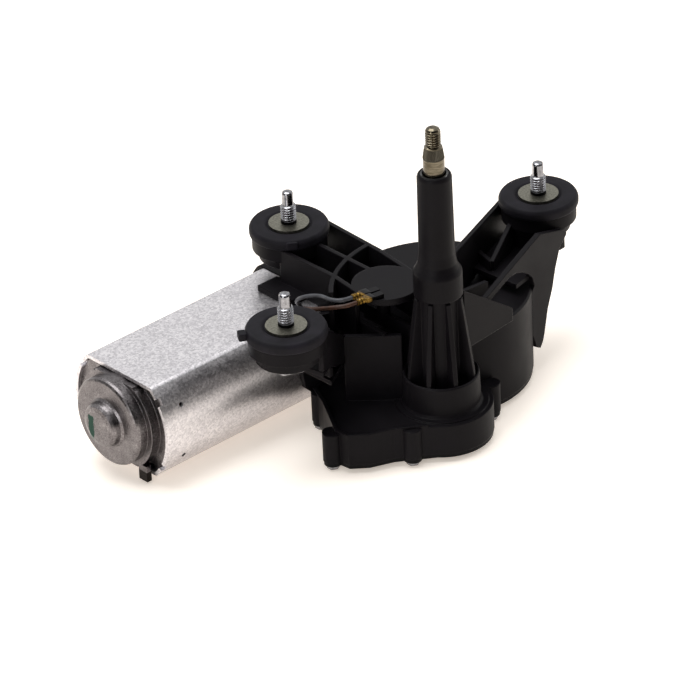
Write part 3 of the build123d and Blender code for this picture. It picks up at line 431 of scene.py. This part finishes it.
nylon = moulded_nylon()
rubber = moulded_rubber()
nitrile = nitrile_rubber()
galvanised = galvanised_sheet()
end_steel = drawn_end_plate()
nickel = plated_spindle()
stud_zinc = plated_studs()
brass = crimped_brass()
# bright zinc on small fasteners: clean, slightly bluish
bright_zinc = metal("bright_zinc_plate", "77777a", "9c9ca0", 0.15, 1.2, 0.06)
# washers under the nuts: dull, with the yellow-green of old passivation
dull_zinc = metal("passivated_zinc_washer", "66655b", "838176", 0.40, 0.8, 0.2)
# hobbed and ground steel under a film of oil: mid grey with a soft gloss
gear_steel = metal("oiled_gear_steel", "6c6d70", "8b8c8f", 0.36, 0.8)
# stamped silicon steel sheets: dark grey, matt on their cut edges
laminations = metal("electrical_steel_stack", "505257", "6a6c70", 0.45, 0.6)
# pressed and sintered bush: brown gold with open pores
bronze = metal("sintered_bronze", "8a6a44", "a8845a", 0.48, 0.5)
# varnished winding wire and the commutator's bars: warm orange brown
copper = metal("enamelled_copper", "8f4f2b", "b8703f", 0.34, 0.7)
# pressed cover, dipped black: a thin even satin skin with rounded edges
painted_steel = plastic("black_painted_steel", "080809", "0e0e10", 0.42, 1.0, 0.4, 0.08)
# unfilled nylon of the wheel: waxy ivory
natural_nylon = plastic("natural_nylon", "cfc9b8", "ddd8ca", 0.45, 3.0)
# paper card bonded with phenolic resin: dark brown, dull
phenolic = plastic("phenolic_card", "2a1f18", "3a2c22", 0.55, 1.2, 0.3)
# fired magnet: charcoal and stony
ferrite = plastic("sintered_ferrite", "2c2c2e", "3a3a3c", 0.6, 0.8)
# brushes: dark grey with a trace of copper
graphite = plastic("copper_graphite", "2a2624", "3b3633", 0.5, 0.6)
# extruded wire insulation: even colour with a low sheen
grey_pvc = plastic("grey_pvc_insulation", "3b3c40", "4a4b50", 0.40, 2.0, gloss=0.3)
brown_pvc = plastic("brown_pvc_insulation", "2f1a11", "43291c", 0.40, 2.0, gloss=0.3)

NODE_MATERIALS = {
    nylon: ["gear_housing"],
    painted_steel: ["bottom_cover"],
    bright_zinc: ["cover_screws", "motor_screws", "stud_sleeves"],
    stud_zinc: ["mount_studs"],
    bronze: ["lower_bush", "upper_bush", "front_bearing", "rear_bush", "nose_bush"],
    rubber: ["isolator_1", "isolator_2", "isolator_3"],
    nitrile: ["spindle_seal"],
    gear_steel: ["thrust_washer", "pinion", "sector_rod", "link_pin", "link_plate", "crank_pin",
                 "wheel_axle", "axle_ring", "armature_shaft", "rear_thrust", "nose_thrust",
                 "brush_springs"],
    nickel: ["spindle"],
    natural_nylon: ["worm_wheel"],
    laminations: ["armature_core"],
    copper: ["windings", "commutator"],
    galvanised: ["motor_can"],
    end_steel: ["end_plate"],
    ferrite: ["magnets"],
    phenolic: ["brush_holder"],
    graphite: ["brushes"],
    dull_zinc: ["stud_washers"],
    brass: ["lead_terminals", "tab_terminals"],
}
for finish, names in NODE_MATERIALS.items():
    for name in names:
        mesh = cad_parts[name].data
        mesh.materials.clear()
        mesh.materials.append(finish)


# ---------------------------------------------------------------- turned, threaded and moulded pieces
def isolator(number, at, nib_angle, nib_length):
    """Rubber grommet: a softened profile turned about the stud, and its locating nib, a superellipsoid
    whose half-sizes multiply the cosines and sines of a sphere's two angles, each squared up by a power."""
    profile = rounded([(4.5, 43.4), (9.9, 43.4), (10.6, 44.2), (10.6, 46.6), (8.3, 47.2),
                       (8.3, TRAY_TOP + 0.1), (14.9, TRAY_TOP + 0.1), (15.3, 55.2), (15.3, 57.4),
                       (14.5, 58.7), (9.4, 58.75), (8.7, 58.3), (8.2, 57.8), (4.5, 57.8)], 0.55)
    columns = np.ones((1, 120))
    ring = lathe(profile[:, :1] * columns, profile[:, 1:] * columns, at, wrap_rows=True)
    nib_root, nib_half_width, nib_middle, nib_half_height, power = 15.0, 2.1, 57.0, 1.55, 0.3
    tilt = np.linspace(-pi / 2, pi / 2, 26)[1:-1, None]
    around = np.linspace(0, 2 * pi, 48, endpoint=False)[None, :]
    x = squared(np.cos(tilt), power) * squared(np.cos(around), power)
    y = squared(np.cos(tilt), power) * squared(np.sin(around), power)
    z = squared(np.sin(tilt), power) + 0 * x
    out, side = nib_root + nib_length * (1 + x) / 2, nib_half_width * y
    turn = radians(nib_angle)
    nib = shell(np.stack([at[0] + out * cos(turn) - side * sin(turn),
                          at[1] + out * sin(turn) + side * cos(turn),
                          nib_middle + nib_half_height * z], axis=-1))
    piece(f"rubber_isolator_{number}", [ring, nib], rubber, f"isolator_{number}")


def stud(at):
    """M6 stud: thin hexagonal head, plain shank, cut thread and dog point. The radius is the turned
    outline's less the thread's depth, or the hexagon's within the head."""
    head_top, shank_top = 43.3, 59.3
    outline = [(0.01, 41.6), (7.9, 41.6), (8.0, 41.8), (8.0, 43.1), (7.9, head_top), (2.6, head_top),
               (2.6, shank_top), (3.0, 59.35), (3.0, 65.9), (2.75, 66.5), (2.2, 66.9), (2.15, 71.3),
               (1.9, 71.9), (1.3, 72.2), (0.01, 72.25)]
    radius, height, angle = turned(outline, 0.11, 72)
    in_head = (height < head_top + 0.01) & (radius > 2.7)
    radius = radius - thread_depth(angle, height, 59.4, 66.9) * (height > shank_top + 0.06)
    head = hexagon(angle - radians(4), radius * cos(pi / 6), radius * 0.985)
    return lathe(np.where(in_head, head, radius), height, at)


def wiper_spindle():
    """Output spindle: journals, a serrated taper whose forty teeth are a triangle wave of the angle, cut
    thread and a domed tip. The plain journals keep one ring of points every 10 mm."""
    outline = [(0.01, 0.5), (3.2, 0.5), (3.5, 0.8), (3.5, 9.0), (4.0, 9.0), (4.0, 114.6), (4.05, TAPER_LOW),
               (3.4, TAPER_TOP), (3.35, 119.5), (2.5, 119.9), (2.88, 120.4), (2.9, 125.0), (2.9, 125.6),
               (2.75, 126.2), (2.35, 126.85), (1.5, 127.35), (0.6, 127.5), (0.01, 127.5)]
    teeth, tooth_depth = 40, 0.22
    radius, height, angle = turned(outline, 0.125, 240)
    level = height[:, 0]
    corners = np.isin(np.round(level, 4), [0.5, 0.8, 9.0])
    keep = (level > 106) | corners | (np.round(level * 8) % 80 == 0)
    radius, height = radius[keep], height[keep]
    wave = np.abs((angle * teeth / (2 * pi)) % 1.0 * 2 - 1)
    on_taper = (np.clip((height - TAPER_LOW - 0.05) / 0.2, 0, 1)
                * np.clip((TAPER_TOP + 0.1 - height) / 0.2, 0, 1))
    thread = thread_depth(angle, height, THREAD_LOW, THREAD_TOP) * (height > THREAD_LOW)
    return lathe(radius - tooth_depth * wave * on_taper - thread, height)


def cover_screw(at):
    """Thread-forming screw, head down: a washer face and a dished hexagonal head, whose radius is the
    hexagon's about the turned outline."""
    outline = [(0.01, -3.0), (1.2, -3.0), (1.5, -3.5), (2.0, -3.5), (2.25, -3.3), (2.25, -2.2),
               (2.9, -2.15), (3.0, -2.0), (3.0, -1.65), (1.25, -1.65), (1.25, 8.0), (0.01, 8.0)]
    radius, height, angle = turned(outline, 2.0, 48)
    in_head = (height < -2.18) & (radius > 1.9)
    return lathe(np.where(in_head, hexagon(angle, radius, radius * 1.13), radius), height, at)


def apron(at, radius, start, end, low, high, thick):
    """Curved wall under a stud ring: a rectangle, thick by high less low, carried round an arc about the
    stud's axis from the start to the end angle, so a point is the stud's place plus radius times
    (cos, sin)."""
    angle = np.radians(np.linspace(start, end, 40))[:, None]
    inner, outer = radius - thick / 2, radius + thick / 2
    out = np.array([inner, outer, outer, inner])[None, :]
    height = np.array([low, low, high, high])[None, :] + 0 * angle
    return shell(np.stack([at[0] + out * np.cos(angle), at[1] + out * np.sin(angle), height], axis=-1))


for number, (at, (nib_angle, nib_length)) in enumerate(zip(STUDS, NIBS), 1):
    isolator(number, at, nib_angle, nib_length)
piece("threaded_studs", [stud(at) for at in STUDS], stud_zinc, "mount_studs")
piece("threaded_spindle", [wiper_spindle()], nickel, "spindle", body="spindle", sharp=30)
piece("hexagon_cover_screws", [cover_screw(at) for at in COVER_BOSSES], bright_zinc,
      "cover_screws")
piece("third_ring_apron", [apron(STUDS[2], 11.0, 135, 282, 38.4, 45.4, 1.2)], nylon)


# ---------------------------------------------------------------- leads
GREY_ROUTE = [(-20.6, 52.2, 37.4), (-22.6, 52.0, 42.0), (-27.0, 49.2, 46.2), (-28.6, 44.8, 50.4),
              (-27.4, 39.4, 53.0), (-26.8, 34.4, 54.4), (-27.6, 30.4, 55.1), (-27.0, 27.0, 55.5),
              (-24.8, 24.6, 55.7), (-21.4, 23.9, 55.7)]
BROWN_ROUTE = [(-20.8, 49.0, 37.2), (-23.2, 47.2, 42.0), (-28.6, 43.4, 46.4), (-32.0, 37.8, 49.8),
               (-32.8, 31.4, 52.6), (-31.2, 26.2, 54.4), (-29.0, 22.4, 55.5), (-26.1, 20.4, 55.7),
               (-22.8, 19.9, 55.7)]
# distance along, half-width, half-height and power: two pinched crimp barrels, a neck and the flat box
TERMINAL_SECTIONS = [(0.0, 1.05, 1.05, 1.0), (0.15, 1.25, 1.25, 1.0), (0.7, 1.25, 1.25, 1.0),
                     (1.0, 1.0, 1.02, 1.0), (1.3, 1.25, 1.25, 1.0), (1.9, 1.25, 1.25, 1.0),
                     (2.2, 0.95, 1.0, 1.0), (2.5, 1.25, 1.25, 1.0), (3.1, 1.25, 1.2, 0.9),
                     (3.4, 1.3, 0.95, 0.7), (3.7, 1.75, 0.9, 0.4), (4.2, 1.9, 0.9, 0.28),
                     (6.9, 1.9, 0.9, 0.28), (7.2, 1.75, 0.75, 0.28)]


def lead(name, route, finish, node):
    """Insulated wire on one smooth spline from the motor's mouth to its terminal."""
    points = [(x * MM, y * MM, (z - PANEL_Z) * MM) for x, y, z in route]
    curve = bpy.data.curves.new(name, "CURVE")
    curve.dimensions = "3D"
    spline = curve.splines.new("NURBS")
    spline.points.add(len(points) - 1)
    for point, place in zip(spline.points, points):
        point.co = (*place, 1.0)
    spline.order_u = 3
    spline.use_endpoint_u = True
    curve.resolution_u = 10
    curve.bevel_depth = LEAD_R * MM
    curve.bevel_resolution = 4
    curve.use_fill_caps = True
    curve.materials.append(finish)
    wire = bpy.data.objects.new(name, curve)
    bpy.context.scene.collection.objects.link(wire)
    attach(wire, "housing")
    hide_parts(node)


def terminal(route):
    """Crimped push-on terminal: a superellipse carried straight on from the lead's end, its half-sizes
    times the powers of a circle's cosine and sine, changing from the round crimp to the flat box."""
    end, before = np.array(route[-1]), np.array(route[-2])
    run = end - before
    ahead = np.array([run[0], run[1], 0]) / np.hypot(run[0], run[1])
    side = np.array([-ahead[1], ahead[0], 0])
    up = np.array([0, 0, 1.0])
    along, wide, high, power = np.array(TERMINAL_SECTIONS).T[:, :, None]
    angle = np.linspace(0, 2 * pi, 40, endpoint=False)[None, :]
    out, rise = wide * squared(np.cos(angle), power), high * squared(np.sin(angle), power)
    return shell(end + along[..., None] * ahead + out[..., None] * side + rise[..., None] * up)


lead("grey_wire", GREY_ROUTE, grey_pvc, "grey_lead")
lead("brown_wire", BROWN_ROUTE, brown_pvc, "brown_lead")
piece("crimped_terminals", [terminal(route) for route in (GREY_ROUTE, BROWN_ROUTE)], brass,
      "lead_terminals", sharp=50)


# ---------------------------------------------------------------- camera, floor and light
AZIMUTH, ELEVATION, ROLL = radians(-41.5), radians(30.5), radians(-2.7)
FRAME_PX = 680                                   # side of the render
FOCAL_PX = 5000                                  # focal length in pixels of the render
PX_PER_MM = 2.75                                 # at the anchor
ANCHOR = Vector((0, 0, 107.0 - PANEL_Z))         # point on the spindle's axis, mm
ANCHOR_PX = (434.2, 176.5)                       # its place, from the left and the top
SENSOR = 36.0
FLOOR_GAP, FLOOR_HALF = 0.2 * MM, 3.0            # below the object, and half the sweep's side, m
BRIGHT_WALL = (0.45, 0.60, 0.66)                 # direction of the brightest part of the studio


def add_camera():
    """Long-lens camera that puts the anchor on its place in the frame."""
    back = Vector((sin(AZIMUTH) * cos(ELEVATION), -cos(AZIMUTH) * cos(ELEVATION), sin(ELEVATION)))
    right = Vector((cos(AZIMUTH), sin(AZIMUTH), 0))
    up = back.cross(right)
    side = right * cos(ROLL) + up * sin(ROLL)
    top = up * cos(ROLL) - right * sin(ROLL)
    distance = FOCAL_PX / PX_PER_MM
    across, above = ANCHOR_PX[0] - FRAME_PX / 2, FRAME_PX / 2 - ANCHOR_PX[1]
    place = ANCHOR + back * distance - (side * across + top * above) / PX_PER_MM
    data = bpy.data.cameras.new("camera")
    data.sensor_width = SENSOR
    data.lens = FOCAL_PX / FRAME_PX * SENSOR
    data.clip_end = 100
    camera = bpy.data.objects.new("camera", data)
    bpy.context.scene.collection.objects.link(camera)
    turn = Matrix((side, top, back)).transposed().to_4x4()
    camera.matrix_world = Matrix.Translation(place * MM) @ turn
    bpy.context.scene.camera = camera


def add_area(name, place, target, size, power):
    """Rectangular soft light aimed at a point."""
    data = bpy.data.lights.new(name, "AREA")
    data.shape = "RECTANGLE"
    data.size, data.size_y = size
    data.energy = power
    light = bpy.data.objects.new(name, data)
    bpy.context.scene.collection.objects.link(light)
    light.location = place
    light.rotation_euler = (Vector(target) - Vector(place)).to_track_quat("-Z", "Y").to_euler()


def add_floor(glow):
    """Plain pale sweep under the object, lit a little from below like a light table."""
    level = cad_box[0][2] - FLOOR_GAP
    corners = [(-FLOOR_HALF, -FLOOR_HALF, level), (FLOOR_HALF, -FLOOR_HALF, level),
               (FLOOR_HALF, FLOOR_HALF, level), (-FLOOR_HALF, FLOOR_HALF, level)]
    mesh = bpy.data.meshes.new("floor")
    mesh.from_pydata(corners, [], [(0, 1, 2, 3)])
    floor = bpy.data.objects.new("floor", mesh)
    bpy.context.scene.collection.objects.link(floor)
    sweep = new_material("paper_sweep", Roughness=0.9, Base_Color=srgb("fbf5ee"),
                         Emission_Color=srgb("fff3e6"), Emission_Strength=glow)[0]
    mesh.materials.append(sweep)


def add_world(dark, bright):
    """Studio walls: bright behind the object and above it, with darker flags in front of it."""
    world = bpy.data.worlds.new("studio")
    world.use_nodes = True
    tree = world.node_tree
    facing = add(tree, "VectorMath", {"operation": "DOT_PRODUCT"},
                 {0: add(tree, "TexCoord").outputs["Generated"], 1: BRIGHT_WALL})
    level = add(tree, "MapRange", inputs={"Value": facing.outputs["Value"], "From Min": -0.1,
                                          "From Max": 0.75, "To Min": dark, "To Max": bright})
    background = tree.nodes["Background"]
    background.inputs["Color"].default_value = (1, 1, 1, 1)
    tree.links.new(level.outputs[0], background.inputs["Strength"])
    bpy.context.scene.world = world


add_camera()
add_floor(glow=0.40)
add_world(dark=0.05, bright=0.88)
add_area("overhead", (-0.1, 0.2, 0.9), (0, 0.03, 0), (0.7, 0.7), 7.2)
add_area("left_strip", (-0.9, -0.25, 0.25), (0, 0.03, -0.02), (0.25, 0.8), 3.2)
add_area("right_strip", (0.75, -0.30, 0.30), (0, 0.03, 0), (0.2, 0.6), 1.2)
# plain display transform, so that the pale sweep comes out as white paper and black nylon as black
bpy.context.scene.view_settings.view_transform = "Standard"

bpy.context.view_layer.update()
